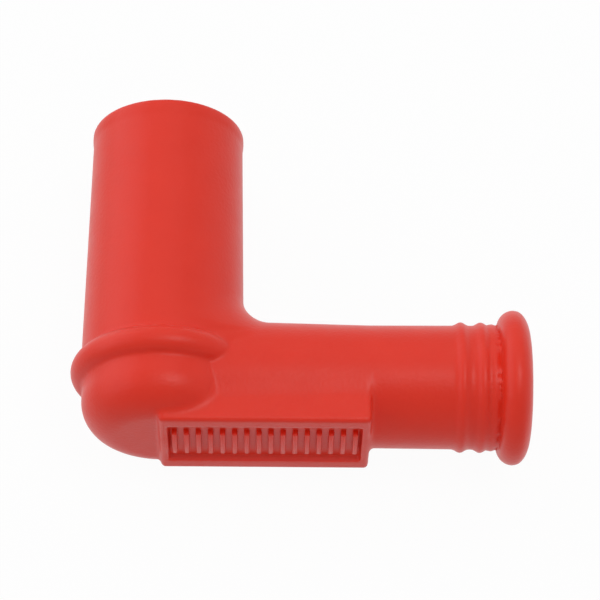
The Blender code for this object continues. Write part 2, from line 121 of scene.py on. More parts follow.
def settle(points, distance):
    """Moves points the shortest way onto the surface where the distance is zero."""
    for _ in range(SETTLE_ROUNDS):
        slope = np.stack([(distance(*(points + step).T) - distance(*(points - step).T)) / (2 * PROBE)
                          for step in PROBE * np.eye(3)], axis=1)
        steepness = np.maximum((slope ** 2).sum(axis=1), LEAST_STEEPNESS)
        points = points - slope * (distance(*points.T) / steepness)[:, None]
    return points


def skin(distance, low, high, pitch):
    """Even four-sided faces, a pitch wide, over the surface where the distance is zero."""
    axes = [np.arange(start - SKIN_MARGIN * pitch, end + (SKIN_MARGIN + 1) * pitch, pitch)
            for start, end in zip(low, high)]
    values = distance(*np.meshgrid(*axes, indexing="ij", sparse=True))
    inside = values < 0
    corners = np.array(list(itertools.product((0, 1), repeat=3)))
    cell_shape = np.array(values.shape) - 1
    filled = sum(inside[tuple(slice(at, at + size) for at, size in zip(corner, cell_shape))].astype(int)
                 for corner in corners)
    cells = np.argwhere((filled > 0) & (filled < len(corners)))
    number = np.full(cell_shape, -1)
    number[tuple(cells.T)] = np.arange(len(cells))

    crossings = np.zeros((len(cells), 3))
    count = np.zeros(len(cells))
    for first, second in itertools.combinations(corners, 2):
        if np.abs(first - second).sum() != 1:
            continue
        start, end = values[tuple((cells + first).T)], values[tuple((cells + second).T)]
        crossed = (start < 0) != (end < 0)
        share = np.where(crossed, start / np.where(crossed, start - end, 1), 0)
        crossings += np.where(crossed[:, None], first + share[:, None] * (second - first), 0)
        count += crossed
    points = np.array([axis[0] for axis in axes]) + pitch * (cells + crossings / count[:, None])

    faces = []
    steps = np.eye(3, dtype=int)
    for axis in range(3):
        ahead, side, other = np.roll(steps, -axis, axis=0)
        size = np.array(values.shape) - ahead
        here = inside[tuple(slice(0, end) for end in size)]
        there = inside[tuple(slice(start, None) for start in ahead)]
        edges = np.argwhere(here != there)
        ring = np.stack([number[tuple((edges - back).T)]
                         for back in (0 * side, side, side + other, other)], axis=1)
        outward = here[tuple(edges.T)]
        faces.append(np.where(outward[:, None], ring, ring[:, ::-1]))
    faces = np.concatenate(faces)

    ends = np.concatenate([faces, np.roll(faces, -1, axis=1)], axis=1).reshape(-1, 2, 4)
    starts, finishes = ends[:, 0].ravel(), ends[:, 1].ravel()
    for _ in range(SKIN_RELAX_ROUNDS):
        points = settle(points, distance)
        drift = np.zeros_like(points)
        np.add.at(drift, starts, points[finishes])
        np.add.at(drift, finishes, points[starts])
        shares = np.bincount(starts, minlength=len(points)) + np.bincount(finishes, minlength=len(points))
        points = points / 2 + drift / shares[:, None] / 2
    return settle(points, distance), faces


def place_mesh(name, points, faces):
    """Makes an object from points told from the crossing, shaded smooth apart from its sharp edges."""
    mesh = bpy.data.meshes.new(name)
    mesh.from_pydata(np.asarray(points + np.array(crossing)).tolist(), [], faces)
    bm = bmesh.new()
    bm.from_mesh(mesh)
    bmesh.ops.recalc_face_normals(bm, faces=bm.faces)
    bm.to_mesh(mesh)
    bm.free()
    mesh.shade_smooth()
    mesh.set_sharp_from_angle(angle=SHARP_EDGE)
    made = bpy.data.objects.new(name, mesh)
    bpy.context.scene.collection.objects.link(made)
    return made


def new_finish(name, settings):
    """Material with these fixed shader settings. Returns it with its nodes, links and shader."""
    made = bpy.data.materials.new(name)
    made.use_nodes = True
    nodes, links = made.node_tree.nodes, made.node_tree.links
    shader = nodes["Principled BSDF"]
    for socket, value in settings.items():
        shader.inputs[socket].default_value = value
    return made, nodes, links, shader


def noise(nodes, links, scale, detail, stretch=(1.0, 1.0, 1.0)):
    """Noise in the piece's own coordinates; scale is in waves per metre."""
    place = nodes.new("ShaderNodeTexCoord")
    mapping = nodes.new("ShaderNodeMapping")
    mapping.inputs["Scale"].default_value = stretch
    texture = nodes.new("ShaderNodeTexNoise")
    texture.inputs["Scale"].default_value = scale
    texture.inputs["Detail"].default_value = detail
    links.new(place.outputs["Object"], mapping.inputs["Vector"])
    links.new(mapping.outputs["Vector"], texture.inputs["Vector"])
    return texture.outputs["Fac"]


def vary_colour(nodes, links, shader, factor, first, second):
    """Base colour that wanders between two colours."""
    mix = nodes.new("ShaderNodeMix")
    mix.data_type = "RGBA"
    mix.inputs["A"].default_value = (*first, 1)
    mix.inputs["B"].default_value = (*second, 1)
    links.new(factor, mix.inputs["Factor"])
    links.new(mix.outputs["Result"], shader.inputs["Base Color"])


def scaled(nodes, links, share, low, high):
    """Value that runs from low to high as the share runs from 0 to 1."""
    spread = nodes.new("ShaderNodeMapRange")
    spread.inputs["To Min"].default_value = low
    spread.inputs["To Max"].default_value = high
    links.new(share, spread.inputs["Value"])
    return spread.outputs["Result"]


def vary_roughness(nodes, links, shader, factor, low, high):
    links.new(scaled(nodes, links, factor, low, high), shader.inputs["Roughness"])


def bump(nodes, links, shader, height, depth):
    """Relief whose height is in metres."""
    relief = nodes.new("ShaderNodeBump")
    relief.inputs["Distance"].default_value = depth
    links.new(height, relief.inputs["Height"])
    links.new(relief.outputs["Normal"], shader.inputs["Normal"])


def fitted(piece, finish, node):
    """Gives a piece its finish and puts it in the place of its CAD node."""
    piece.data.materials.clear()
    piece.data.materials.append(finish)
    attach(piece, "root")
    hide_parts(node)


core_points, core_faces = skin(core_distance, core_low - crossing, core_high - crossing, CORE_SKIN_STEP)
core = place_mesh("moulded_core", core_points, core_faces)
phenolic, nodes, links, shader = new_finish("phenolic", {"Specular IOR Level": 0.5, "IOR": 1.6})
vary_colour(nodes, links, shader, noise(nodes, links, 900, 5), (0.022, 0.014, 0.010), (0.050, 0.029, 0.020))
vary_roughness(nodes, links, shader, noise(nodes, links, 1500, 3), 0.32, 0.5)
bump(nodes, links, shader, noise(nodes, links, 4000, 3), 0.00002)
fitted(core, phenolic, "insulator_core")

# Plug socket
# Free-cutting brass, turned and drilled on a lathe, then slotted into four sprung fingers that snap over
# the plug's terminal. The flat on its head is where the resistor bears on it.
SOCKET_MOUTH_Y = socket_high.y - crossing.y
SOCKET_CHAMFER = 0.0002
CUP_RADIUS = 0.00325
CUP_OUTER_RADIUS = 0.0038
CLIP_SETBACK = 0.0026
CLIP_WIRE_RADIUS = 0.00035
CLIP_GROOVE_DEPTH = 0.0003
CLIP_GROOVE_HALF = CLIP_WIRE_RADIUS + FIT_GAP / 2
LATCH_HEIGHT = 0.00015
SLOT_WIDTH = 0.0008
SLOT_LENGTH = 0.0068
FLAT_DEPTH = 0.0009
EASE_REACH = 0.00012
EASE_MOST_SHARE = 0.45
EASE_STEPS = 4
AROUND = 160


def eased(outline, reach=EASE_REACH):
    """Outline whose inner corners are eased over a short reach."""
    points = [outline[0]]
    for before, corner, after in zip(outline, outline[1:], outline[2:]):
        corner = Vector(corner)
        ends = []
        for other in (before, after):
            side = Vector(other) - corner
            ends.append(corner + side * min(reach / side.length, EASE_MOST_SHARE))
        for share in np.linspace(0, 1, EASE_STEPS):
            points.append(tuple(ends[0].lerp(corner, share).lerp(corner.lerp(ends[1], share), share)))
    points.append(outline[-1])
    return points


def tube_faces(points, sides):
    """Faces over rings of points, closed at the start and end by the last two points."""
    start_tip, end_tip = len(points) - 2, len(points) - 1
    last_ring = start_tip - sides
    faces = []
    for here in range(sides):
        after = (here + 1) % sides
        faces.append((start_tip, here, after))
        faces.append((end_tip, last_ring + after, last_ring + here))
        faces += [(ring + here, ring + after, ring + sides + after, ring + sides + here)
                  for ring in range(0, last_ring, sides)]
    return faces


def turned_piece(name, outline, axis, ridge=None):
    """Closed body turned from (place, radius) points that start and end on its axis."""
    turns = np.arange(AROUND) / AROUND
    places, radii = np.array(outline[1:-1]).T[:, :, None]
    if ridge:
        radii = radii + ridge(places, turns)
    columns = np.broadcast_arrays(places, radii * np.cos(math.tau * turns), radii * np.sin(math.tau * turns))
    points = np.stack(columns, axis=-1).reshape(-1, 3)
    points = np.vstack([points, (outline[0][0], 0, 0), (outline[-1][0], 0, 0)])
    if axis == "Y":
        points = points[:, (1, 0, 2)]
    return place_mesh(name, points, tube_faces(points, AROUND))


def apply_boolean(piece, tool, operation):
    """Joins a tool to a piece or takes it out of the piece, and uses the tool up."""
    step = piece.modifiers.new(operation.lower(), "BOOLEAN")
    step.operation = operation
    step.solver = "EXACT"
    step.object = tool
    depsgraph = bpy.context.evaluated_depsgraph_get()
    result = bpy.data.meshes.new_from_object(piece.evaluated_get(depsgraph))
    piece.modifiers.clear()
    piece.data = result
    bpy.data.objects.remove(tool)
    piece.data.shade_smooth()
    piece.data.set_sharp_from_angle(angle=SHARP_EDGE)


def cut_box(piece, low, high):
    """Takes a box, whose corners are told from the crossing, out of a piece."""
    corners = list(itertools.product(*zip(low, high)))
    sides = [(0, 1, 3, 2), (4, 6, 7, 5), (0, 4, 5, 1), (2, 3, 7, 6), (0, 2, 6, 4), (1, 5, 7, 3)]
    apply_boolean(piece, place_mesh("cut_tool", corners, sides), "DIFFERENCE")


def brass(name, turning_marks):
    """Turned brass, its fine tool marks drawn out across the axis that it was turned on."""
    finish, nodes, links, shader = new_finish(name, {"Metallic": 1.0})
    vary_colour(nodes, links, shader, noise(nodes, links, 500, 4), (0.73, 0.51, 0.20), (0.84, 0.62, 0.28))
    marks = noise(nodes, links, 5000, 2, turning_marks)
    vary_roughness(nodes, links, shader, marks, 0.18, 0.34)
    bump(nodes, links, shader, marks, 0.00001)
    return finish


clip_y = SOCKET_MOUTH_Y - CLIP_SETBACK
groove_radius = CUP_OUTER_RADIUS - CLIP_GROOVE_DEPTH
cup_floor_y = -SOCKET_FOOT_Y
socket_outline = [
    (SOCKET_FOOT_Y, 0.0), (SOCKET_FOOT_Y, SOCKET_RADIUS - SOCKET_CHAMFER),
    (SOCKET_FOOT_Y + SOCKET_CHAMFER, SOCKET_RADIUS), (cup_floor_y, SOCKET_RADIUS),
    (cup_floor_y, CUP_OUTER_RADIUS), (clip_y - CLIP_GROOVE_HALF, CUP_OUTER_RADIUS),
    (clip_y - CLIP_GROOVE_HALF, groove_radius), (clip_y + CLIP_GROOVE_HALF, groove_radius),
    (clip_y + CLIP_GROOVE_HALF, CUP_OUTER_RADIUS), (SOCKET_MOUTH_Y - SOCKET_CHAMFER, CUP_OUTER_RADIUS),
    (SOCKET_MOUTH_Y, CUP_OUTER_RADIUS - SOCKET_CHAMFER), (SOCKET_MOUTH_Y, CUP_RADIUS + SOCKET_CHAMFER),
    (SOCKET_MOUTH_Y - SOCKET_CHAMFER, CUP_RADIUS), (clip_y + CLIP_GROOVE_HALF, CUP_RADIUS),
    (clip_y, CUP_RADIUS - LATCH_HEIGHT), (clip_y - CLIP_GROOVE_HALF, CUP_RADIUS),
    (cup_floor_y, CUP_RADIUS), (cup_floor_y, 0.0),
]
socket = turned_piece("turned_socket", eased(socket_outline), "Y")
slot_start = SOCKET_MOUTH_Y - SLOT_LENGTH
past_mouth = SOCKET_MOUTH_Y + FIT_GAP
reach = 2 * SOCKET_RADIUS
cut_box(socket, (-reach, slot_start, -SLOT_WIDTH / 2), (reach, past_mouth, SLOT_WIDTH / 2))
cut_box(socket, (-SLOT_WIDTH / 2, slot_start, -reach), (SLOT_WIDTH / 2, past_mouth, reach))
cut_box(socket, (SOCKET_RADIUS - FLAT_DEPTH, -reach, -reach), (reach, cup_floor_y - SOCKET_CHAMFER, reach))
fitted(socket, brass("socket_brass", (0.02, 1.0, 0.02)), "plug_socket")

# Clip ring
# Hard-drawn spring wire bent to an open ring. It snaps into the groove round the socket's fingers and
# squeezes them on to the terminal.
CLIP_SWEEP = math.radians(318)
CLIP_RING_RADIUS = groove_radius + CLIP_WIRE_RADIUS + FIT_GAP / 2
CLIP_BENDS = 96
WIRE_SIDES = 16


def bent_wire(name, places, radius):
    """Round wire with eased ends along a row of places, told from the crossing."""
    places = np.array(places)
    along = np.gradient(places, axis=0)
    along /= np.linalg.norm(along, axis=1)[:, None]
    outward = places - places.mean(axis=0)
    outward -= (outward * along).sum(axis=1)[:, None] * along
    outward /= np.linalg.norm(outward, axis=1)[:, None]
    across = np.cross(along, outward)
    turns = math.tau * np.arange(WIRE_SIDES) / WIRE_SIDES
    tips = [places[0] - along[0] * radius / 2, places[-1] + along[-1] * radius / 2]
    points = np.vstack([place + radius * (np.outer(np.cos(turns), out) + np.outer(np.sin(turns), side))
                        for place, out, side in zip(places, outward, across)] + [tips])
    return place_mesh(name, points, tube_faces(points, WIRE_SIDES))


spring_steel, nodes, links, shader = new_finish("spring_steel", {"Metallic": 1.0})
vary_colour(nodes, links, shader, noise(nodes, links, 1200, 4), (0.46, 0.46, 0.47), (0.60, 0.60, 0.61))
vary_roughness(nodes, links, shader, noise(nodes, links, 3000, 3), 0.2, 0.36)
bump(nodes, links, shader, noise(nodes, links, 6000, 2), 0.00001)
ring_turns = CLIP_SWEEP * (np.arange(CLIP_BENDS + 1) / CLIP_BENDS - 0.5)
clip_line = np.stack([CLIP_RING_RADIUS * np.sin(ring_turns), np.full_like(ring_turns, clip_y),
                      CLIP_RING_RADIUS * np.cos(ring_turns)], axis=1)
fitted(bent_wire("clip_wire", clip_line, CLIP_WIRE_RADIUS), spring_steel, "socket_clip_ring")

# Resistor
# Ceramic rod with a resistive glaze that is cut by a fine spiral groove, and a cap of nickel-plated steel
# pressed over each end. It damps the spark's radio noise, and slides loosely into the core's arm.
rod_low, rod_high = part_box("resistor_rod")
_, far_cap_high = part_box("resistor_cap_outer")
ROD_START_X, ROD_END_X = rod_low.x - crossing.x, rod_high.x - crossing.x
ROD_RADIUS = (rod_high.z - rod_low.z) / 2
ROD_STEPS = 160
ROD_EDGE_REACH = 0.0003
GROOVE_PITCH = 0.0009
GROOVE_HALF_SHARE = 0.12
GROOVE_DEPTH = 0.00006
CAP_WALL = 0.00035
CAP_EDGE_REACH = 0.00025
CAP_DIMPLE_RADIUS = 0.0007
CAP_DIMPLE_DEPTH = 0.0001


def spiral_share(place, turn, pitch, half_share):
    """1 on the middle of a right-hand spiral, falling to 0 beside it."""
    phase = place / pitch - turn
    return np.clip(1 - np.abs(phase - np.round(phase)) / half_share, 0, 1)


def glaze_groove(place, turn):
    inside_caps = (place > ROD_START_X + ROD_EDGE_REACH) & (place < ROD_END_X - ROD_EDGE_REACH)
    return -GROOVE_DEPTH * inside_caps * spiral_share(place, turn, GROOVE_PITCH, GROOVE_HALF_SHARE)


rod_ends = eased([(ROD_START_X, 0.0), (ROD_START_X, ROD_RADIUS), (ROD_END_X, ROD_RADIUS), (ROD_END_X, 0.0)],
                 ROD_EDGE_REACH)
rod_side = [(x, ROD_RADIUS) for x in np.linspace(rod_ends[EASE_STEPS][0], rod_ends[EASE_STEPS + 1][0],
                                                 ROD_STEPS)]
rod = turned_piece("glazed_rod", rod_ends[:EASE_STEPS] + rod_side + rod_ends[EASE_STEPS + 2:], "X",
                   glaze_groove)
ceramic, nodes, links, shader = new_finish("glazed_ceramic", {"Coat Weight": 0.3, "Coat Roughness": 0.2})
vary_colour(nodes, links, shader, noise(nodes, links, 1800, 5), (0.70, 0.66, 0.58), (0.82, 0.79, 0.72))
vary_roughness(nodes, links, shader, noise(nodes, links, 2500, 3), 0.35, 0.55)
bump(nodes, links, shader, noise(nodes, links, 5000, 3), 0.00001)
fitted(rod, ceramic, "resistor_rod")

nickel, nodes, links, shader = new_finish("nickel_plate", {"Metallic": 1.0})
vary_colour(nodes, links, shader, noise(nodes, links, 900, 4), (0.60, 0.58, 0.54), (0.70, 0.68, 0.64))
vary_roughness(nodes, links, shader, noise(nodes, links, 2500, 3), 0.14, 0.28)
bump(nodes, links, shader, noise(nodes, links, 5000, 2), 0.00001)
cap_ends = {"resistor_cap_inner": (cap_low.x - crossing.x, 1),
            "resistor_cap_outer": (far_cap_high.x - crossing.x, -1)}
for node, (end_x, inwards) in cap_ends.items():
    rim_x = end_x + inwards * (cap_high.x - cap_low.x)
    floor_x = end_x + inwards * CAP_WALL
    inner = CAP_RADIUS - CAP_WALL
    dimple_x = end_x + inwards * CAP_DIMPLE_DEPTH
    outline = [(dimple_x, 0.0), (dimple_x, CAP_DIMPLE_RADIUS / 2), (end_x, CAP_DIMPLE_RADIUS),
               (end_x, CAP_RADIUS), (rim_x, CAP_RADIUS), (rim_x, inner), (floor_x, inner), (floor_x, 0.0)]
    cap = turned_piece("pressed_" + node.removeprefix("resistor_"), eased(outline, CAP_EDGE_REACH), "X")
    fitted(cap, nickel, node)

# Contact spring
# Wound from the same hard-drawn wire as the clip ring. It presses the resistor on to the socket's flat
# and takes up the slack in the arm.
spring_low, spring_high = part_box("contact_spring")
SPRING_TURNS = 4
SPRING_WIRE_RADIUS = 0.0003
SPRING_BENDS = 160
coil_radius = CAP_RADIUS - SPRING_WIRE_RADIUS
shares = np.arange(SPRING_BENDS + 1) / SPRING_BENDS
coil_turns = math.tau * SPRING_TURNS * shares
coil_start = spring_low.x - crossing.x + SPRING_WIRE_RADIUS
coil_travel = spring_high.x - spring_low.x - 2 * SPRING_WIRE_RADIUS
coil = np.stack([coil_start + coil_travel * shares, coil_radius * np.cos(coil_turns),
                 coil_radius * np.sin(coil_turns)], axis=1)
fitted(bent_wire("wound_spring", coil, SPRING_WIRE_RADIUS), spring_steel, "contact_spring")

# Lead screw
# Brass screw with a knurled head that is pressed into the core's arm up to its flange. Its coarse tapered
# thread bites into the strands of the lead as the lead is turned on.
SCREW_START_X = screw_low.x - crossing.x
SCREW_TIP_X = screw_high.x - crossing.x
FLANGE_THICKNESS = 0.0008
FLANGE_RADIUS = 0.0037
FLANGE_START_X = ARM_END_X + FIT_GAP
FLANGE_END_X = FLANGE_START_X + FLANGE_THICKNESS
SHANK_RADIUS = 0.0016
POINT_LENGTH = 0.0070
POINT_START_X = SCREW_TIP_X - POINT_LENGTH
POINT_ROOT_RADIUS = 0.00118
POINT_STEPS = 110
POINT_TIP_RADIUS = 0.00005
THREAD_PITCH = 0.0013
THREAD_HEIGHT = 0.00045
THREAD_HALF_SHARE = 0.3
THREAD_RUN_IN = 0.0005
THREAD_RUN_OUT = 0.0030
KNURL_COUNT = 40
KNURL_DEPTH = 0.00006


def screw_ridge(place, turn):
    """Straight knurl on the head and a right-hand thread that fades out at the point."""
    on_head = (place > SCREW_START_X) & (place < FLANGE_START_X)
    knurl = -KNURL_DEPTH * (on_head & (np.cos(math.tau * KNURL_COUNT * turn) < 0))
    fade = (np.clip((place - POINT_START_X) / THREAD_RUN_IN, 0, 1)
            * np.clip((SCREW_TIP_X - place) / THREAD_RUN_OUT, 0, 1))
    return knurl + THREAD_HEIGHT * fade * spiral_share(place, turn, THREAD_PITCH, THREAD_HALF_SHARE)


screw_head = eased([(SCREW_START_X, 0.0), (SCREW_START_X, CAP_RADIUS), (FLANGE_START_X, CAP_RADIUS),
                    (FLANGE_START_X, FLANGE_RADIUS), (FLANGE_END_X, FLANGE_RADIUS),
                    (FLANGE_END_X, SHANK_RADIUS), (POINT_START_X, SHANK_RADIUS),
                    (POINT_START_X, POINT_ROOT_RADIUS)])
point_places = np.linspace(POINT_START_X, SCREW_TIP_X, POINT_STEPS)[1:]
point_radii = np.linspace(POINT_ROOT_RADIUS, POINT_TIP_RADIUS, POINT_STEPS)[1:]
screw_outline = screw_head + list(zip(point_places, point_radii)) + [(SCREW_TIP_X, 0.0)]
screw = turned_piece("threaded_screw", screw_outline, "X", screw_ridge)
fitted(screw, brass("screw_brass", (1.0, 0.02, 0.02)), "lead_screw")

# Boot
# One moulding in soft red silicone rubber, pressed in a heated two-part mould round a pin for each bore.
# The ring and the bead give the fingers a hold when the cap is pulled off, and the panel on the squared
# side of the lead leg carries a row of plain bars. Lips inside both bores keep water out.
boot_low, boot_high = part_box("boot")
PLUG_REACH = boot_high.y - crossing.y
LEAD_REACH = boot_high.x - crossing.x
RING_CREST_RADIUS = crossing.x - boot_low.x
BEAD_RADIUS = crossing.y - boot_low.y
RING_CREST_HEIGHT = 0.00114
BARREL_BASE_RADIUS = RING_CREST_RADIUS - RING_CREST_HEIGHT
BARREL_MOUTH_RADIUS = 0.00887
MOUTH_LIP_HEIGHT = 0.00011
MOUTH_LIP_WIDTH = 0.0010
MOUTH_ROUND = 0.0005
BLIND_END_STEP = 0.00022
BLIND_END_RADIUS = BARREL_BASE_RADIUS - BLIND_END_STEP
BLIND_END_DEPTH = 0.00668
BLIND_END_ROUND = 0.00434
RING_SECTION_RADIUS = 0.00169
RING_MIDDLE_RADIUS = RING_CREST_RADIUS - RING_SECTION_RADIUS
RING_CENTRE_Y = 0.00125
RING_FOOT_ROUND = 0.00025
LEG_ROOT_RADIUS = 0.0073
LEG_RADIUS = 0.00702
LEG_END_RADIUS = 0.00708
LEG_TAPER_START = 0.0100
BEAD_BACK_WIDTH = 0.0018
BEAD_FRONT_WIDTH = 0.00177
BEAD_FRONT_DROP = 0.0028
BEAD_FRONT_ANGLE = 75
RIB_HEIGHTS = (0.0004, 0.0004, 0.0002)
RIB_SETBACKS = (0.00783, 0.00554, 0.0043)
RIB_HALF_WIDTHS = (0.00095, 0.00095, 0.00067)
BLOCK_START = -0.00008
BLOCK_LENGTH = 0.02378
BLOCK_END = BLOCK_START + BLOCK_LENGTH
BLOCK_HALF_THICKNESS = 0.00636
BLOCK_FACE_DEPTH = 0.00743
BLOCK_EDGE_ROUND = 0.0005
BLOCK_BLEND = 0.0006
CROOK_ROUND = 0.0034
CROOK_START_Y = 0.0014
CROOK_FADE = 0.0030
SEAM_ROUND = 0.00006
PLUG_BORE_RADIUS = 0.0051
LEAD_BORE_RADIUS = 0.0034
BORE_CHAMFER = 0.0008
BORE_EDGE_ROUND = 0.0003
SEAL_LIP_COUNT = 3
SEAL_LIP_PITCH = 0.0026
SEAL_LIP_HEIGHT = 0.0003
SEAL_LIP_HALF_WIDTH = 0.0006
SEAL_FIRST_LIP = 0.0030
PANEL_MARGIN_X = 0.0010
PANEL_HALF_HEIGHT = 0.0043
PANEL_DEPTH = 0.0007
PANEL_FLOOR_ROUND = 0.0003
PANEL_RIM_ROUND = 0.00025
BAR_COUNT = 16
BAR_WIDTH = 0.0006
BAR_HALF_HEIGHT = 0.0025
BAR_SINK = 0.0003
BAR_EDGE_ROUND = 0.00018
BAR_EDGE_STEPS = 3
PROFILE_STEP = 0.0002
ARC_LEAST_STEPS = 6
TABLE_STEP = 0.00005
TABLE_MARGIN = 0.0045
BOOT_SKIN_STEP = 0.0003


def stations(start, end):
    """Evenly spaced places along an axis, about a profile step apart."""
    return np.linspace(start, end, max(2, round(abs(end - start) / PROFILE_STEP) + 1))


def arc(place, radius, width, height, start_deg, end_deg):
    """Points on an ellipse in a profile's plane; 0 degrees points along the axis."""
    length = math.radians(abs(end_deg - start_deg)) * max(width, height)
    steps = max(ARC_LEAST_STEPS, round(length / PROFILE_STEP))
    angles = np.radians(np.linspace(start_deg, end_deg, steps + 1))
    return [(place + width * math.cos(turn), radius + height * math.sin(turn)) for turn in angles]


def swell(places, centre, half_width):
    """Share from 0 to 1 of a soft ridge round its centre."""
    share = np.clip(np.abs(places - centre) / half_width, 0, 1)
    return (1 + np.cos(math.pi * share)) / 2


def barrel_radius(y):
    taper = (RING_CENTRE_Y + RING_SECTION_RADIUS, PLUG_REACH - MOUTH_LIP_WIDTH)
    return np.interp(y, taper, (BARREL_BASE_RADIUS, BARREL_MOUTH_RADIUS))


def barrel_profile():
    """From the plug mouth to the blind end, with no ring."""
    lip_radius = BARREL_MOUTH_RADIUS + MOUTH_LIP_HEIGHT
    lip_end = PLUG_REACH - MOUTH_LIP_WIDTH
    points = [(PLUG_REACH, 0.0)]
    points += arc(PLUG_REACH - MOUTH_ROUND, lip_radius - MOUTH_ROUND, MOUTH_ROUND, MOUTH_ROUND, 0, 90)
    lip = stations(lip_end, lip_end - MOUTH_LIP_WIDTH)
    points += [(y, barrel_radius(y) + MOUTH_LIP_HEIGHT * swell(y, lip_end, MOUTH_LIP_WIDTH)) for y in lip]
    points += [(RING_CENTRE_Y, BARREL_BASE_RADIUS), (RING_CENTRE_Y - RING_SECTION_RADIUS, BLIND_END_RADIUS)]
    points += arc(-BLIND_END_DEPTH + BLIND_END_ROUND, BLIND_END_RADIUS - BLIND_END_ROUND,
                  BLIND_END_ROUND, BLIND_END_ROUND, 90, 180)
    points.append((-BLIND_END_DEPTH, 0.0))
    return points


def leg_profile():
    """From inside the elbow over the grip ribs to the beaded lead mouth."""
    bead_x = LEAD_REACH - BEAD_FRONT_WIDTH
    start_x = BLOCK_START + BLOCK_EDGE_ROUND
    points = [(start_x, 0.0), (start_x, LEG_ROOT_RADIUS), (LEG_TAPER_START, LEG_ROOT_RADIUS),
              (BLOCK_END, LEG_RADIUS)]
    ribbed = stations(LEAD_REACH - RIB_SETBACKS[0] - RIB_HALF_WIDTHS[0], bead_x - BEAD_BACK_WIDTH)
    rise = np.max([height * swell(ribbed, LEAD_REACH - setback, half_width) for height, setback, half_width
                   in zip(RIB_HEIGHTS, RIB_SETBACKS, RIB_HALF_WIDTHS)], axis=0)
    points += list(zip(ribbed, LEG_END_RADIUS + rise))
    points += arc(bead_x, LEG_END_RADIUS, BEAD_BACK_WIDTH, BEAD_RADIUS - LEG_END_RADIUS, 180, 90)
    points += arc(bead_x, BEAD_RADIUS - BEAD_FRONT_DROP, BEAD_FRONT_WIDTH, BEAD_FRONT_DROP,
                  BEAD_FRONT_ANGLE, 0)
    points.append((LEAD_REACH, 0.0))
    return points


def bore_profile(pocket_start, pocket_radius, shoulder, mouth, radius):
    """Pocket for what the boot holds, then the sealing bore with its lips and a chamfered mouth."""
    past = mouth + BORE_CHAMFER
    sealed = stations(shoulder, mouth - BORE_CHAMFER)
    lips = [swell(sealed, mouth - SEAL_FIRST_LIP - number * SEAL_LIP_PITCH, SEAL_LIP_HALF_WIDTH)
            for number in range(SEAL_LIP_COUNT)]
    bore = zip(sealed, radius - SEAL_LIP_HEIGHT * np.max(lips, axis=0))
    return [(pocket_start, 0.0), (pocket_start, pocket_radius), (shoulder, pocket_radius), *bore,
            (past, radius + 2 * BORE_CHAMFER), (past, 0.0)]


def turned(profile):
    """Gives a function for the signed distance to a body turned from (place, radius) points."""
    outline = np.array(profile + [(place, -radius) for place, radius in reversed(profile)])
    low = np.array((outline[:, 0].min() - TABLE_MARGIN, -TABLE_STEP))
    high = outline.max(axis=0) + TABLE_MARGIN
    counts = np.ceil((high - low) / TABLE_STEP).astype(int) + 2
    place, radius = np.meshgrid(*(start + TABLE_STEP * np.arange(count)
                                  for start, count in zip(low, counts)), indexing="ij")
    nearest = np.full(place.shape, np.inf)
    inside = np.zeros(place.shape, bool)
    for start, end in zip(outline, np.roll(outline, -1, axis=0)):
        run = end - start
        length_squared = np.dot(run, run)
        if length_squared == 0:
            continue
        share = np.clip(((place - start[0]) * run[0] + (radius - start[1]) * run[1]) / length_squared, 0, 1)
        away = np.hypot(place - start[0] - share * run[0], radius - start[1] - share * run[1])
        nearest = np.minimum(nearest, away)
        if run[1] != 0:
            crossed = (start[1] > radius) != (end[1] > radius)
            inside ^= crossed & (place < start[0] + (radius - start[1]) * run[0] / run[1])
    table = np.where(inside, -nearest, nearest)

    def distance(at_place, at_radius):
        across = np.clip((at_place - low[0]) / TABLE_STEP, 0, counts[0] - 2)
        upward = np.clip((at_radius - low[1]) / TABLE_STEP, 0, counts[1] - 2)
        column, row = across.astype(int), upward.astype(int)
        right, up = across - column, upward - row
        near = table[column, row] * (1 - right) + table[column + 1, row] * right
        far = table[column, row + 1] * (1 - right) + table[column + 1, row + 1] * right
        return near * (1 - up) + far * up

    return distance


def rounded_box(x, y, z, low, high, edge):
    """Signed distance to a box with rounded edges."""
    outside, inside = 0.0, -np.inf
    for place, start, end in zip((x, y, z), low, high):
        past = np.abs(place - (start + end) / 2) - ((end - start) / 2 - edge)
        outside = outside + np.maximum(past, 0) ** 2
        inside = np.maximum(inside, past)
    return np.sqrt(outside) + np.minimum(inside, 0) - edge


barrel = turned(barrel_profile())
leg = turned(leg_profile())
plug_pocket = turned(bore_profile(CORE_FOOT_Y - FIT_GAP, CORE_RADIUS + FIT_GAP, CORE_MOUTH_Y + FIT_GAP,
                                  PLUG_REACH, PLUG_BORE_RADIUS))
lead_pocket = turned(bore_profile(0.0, ARM_RADIUS + FIT_GAP, FLANGE_END_X + FIT_GAP, LEAD_REACH,
                                  LEAD_BORE_RADIUS))


